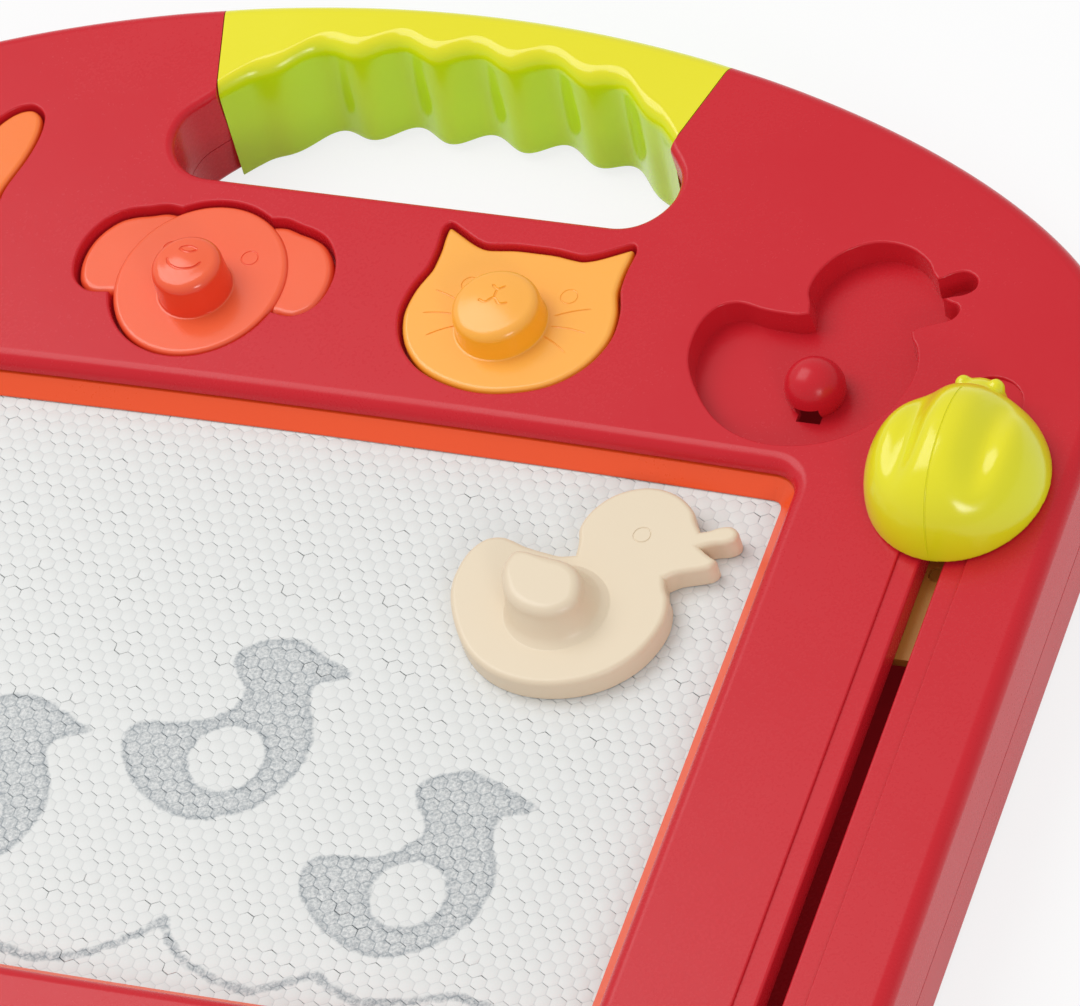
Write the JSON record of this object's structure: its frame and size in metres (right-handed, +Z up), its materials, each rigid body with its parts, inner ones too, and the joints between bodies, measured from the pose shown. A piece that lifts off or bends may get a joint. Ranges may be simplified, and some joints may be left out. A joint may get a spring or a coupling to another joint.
{
  "type": "magnetic drawing board",
  "caption": "Flat drawing board with an arched top and carry handle, magnetic screen, sliding eraser knob, animal stamps that lift out of shaped recesses, and a pen in a trough.",
  "frame": {"origin": "bottom centre of the bounding box: on the table under the middle of the board as it lies on its back", "axes": "+X to the right along the board's width, +Y to the carry handle, +Z up out of the screen"},
  "size_m": [0.438, 0.386, 0.0621],
  "materials": {
    "red_shell": "semi-gloss moulded",
    "lime_plastic": "gloss moulded",
    "orange_bezel": "semi-gloss moulded",
    "screen_film": "satin film",
    "honeycomb": "satin",
    "inner_plastic": "matte moulded",
    "ochre_plastic": "semi-gloss moulded",
    "magnet_rubber": "matte",
    "screw_steel": "zinc plated",
    "orange_pen": "gloss moulded",
    "bunny_plastic": "gloss moulded",
    "dog_plastic": "gloss moulded",
    "cat_plastic": "gloss moulded",
    "duck_plastic": "gloss moulded",
    "foot_rubber": "matte"
  },
  "bodies": {
    "board": {"front_cover": "red_shell", "back_cover": "red_shell", "handle_grip": "lime_plastic", "handle_grip_back": "lime_plastic", "screen_bezel": "orange_bezel", "screen_front_film": "screen_film", "screen_honeycomb": "honeycomb", "screen_back_film": "screen_film", "panel_strip_left": "inner_plastic", "panel_strip_right": "inner_plastic", "case_screw_1": "screw_steel", "case_screw_2": "screw_steel", "case_screw_3": "screw_steel", "case_screw_4": "screw_steel", "case_screw_5": "screw_steel", "case_screw_6": "screw_steel", "case_screw_7": "screw_steel", "case_screw_8": "screw_steel", "case_screw_9": "screw_steel", "panel_screw_1": "screw_steel", "panel_screw_2": "screw_steel", "panel_screw_3": "screw_steel", "panel_screw_4": "screw_steel", "panel_screw_5": "screw_steel", "panel_screw_6": "screw_steel", "grip_screw_1": "screw_steel", "grip_screw_2": "screw_steel", "foot_1": "foot_rubber", "foot_2": "foot_rubber", "foot_3": "foot_rubber", "foot_4": "foot_rubber"},
    "eraser": {"eraser_bar": "ochre_plastic", "eraser_magnet_strip": "magnet_rubber", "slider_carriage": "ochre_plastic", "slider_knob": "lime_plastic", "slider_screw": "screw_steel", "eraser_bar_screw": "screw_steel"},
    "bunny": {"bunny_stamp": "bunny_plastic", "bunny_stamp_magnet": "magnet_rubber"},
    "dog": {"dog_stamp": "dog_plastic", "dog_stamp_magnet": "magnet_rubber"},
    "cat": {"cat_stamp": "cat_plastic", "cat_stamp_magnet": "magnet_rubber"},
    "duck": {"duck_stamp": "duck_plastic", "duck_stamp_magnet": "magnet_rubber"},
    "pen": {"pen_barrel": "orange_pen", "pen_tip": "lime_plastic", "pen_cap": "lime_plastic"}
  },
  "joints": [
    {"name": "eraser_slide", "type": "slide", "parent": "board", "child": "eraser", "axis": [0, -1, 0], "range_m": [-0.02, 0.18]},
    {"name": "bunny_lift", "type": "slide", "parent": "board", "child": "bunny", "axis": [0, 0, 1], "range_m": [0, 0.03]},
    {"name": "dog_lift", "type": "slide", "parent": "board", "child": "dog", "axis": [0, 0, 1], "range_m": [0, 0.03]},
    {"name": "cat_lift", "type": "slide", "parent": "board", "child": "cat", "axis": [0, 0, 1], "range_m": [0, 0.03]},
    {"name": "duck_lift", "type": "slide", "parent": "board", "child": "duck", "axis": [0, 0, 1], "range_m": [0, 0.03]},
    {"name": "pen_lift", "type": "slide", "parent": "board", "child": "pen", "axis": [0, 0, 1], "range_m": [0, 0.03]}
  ]
}
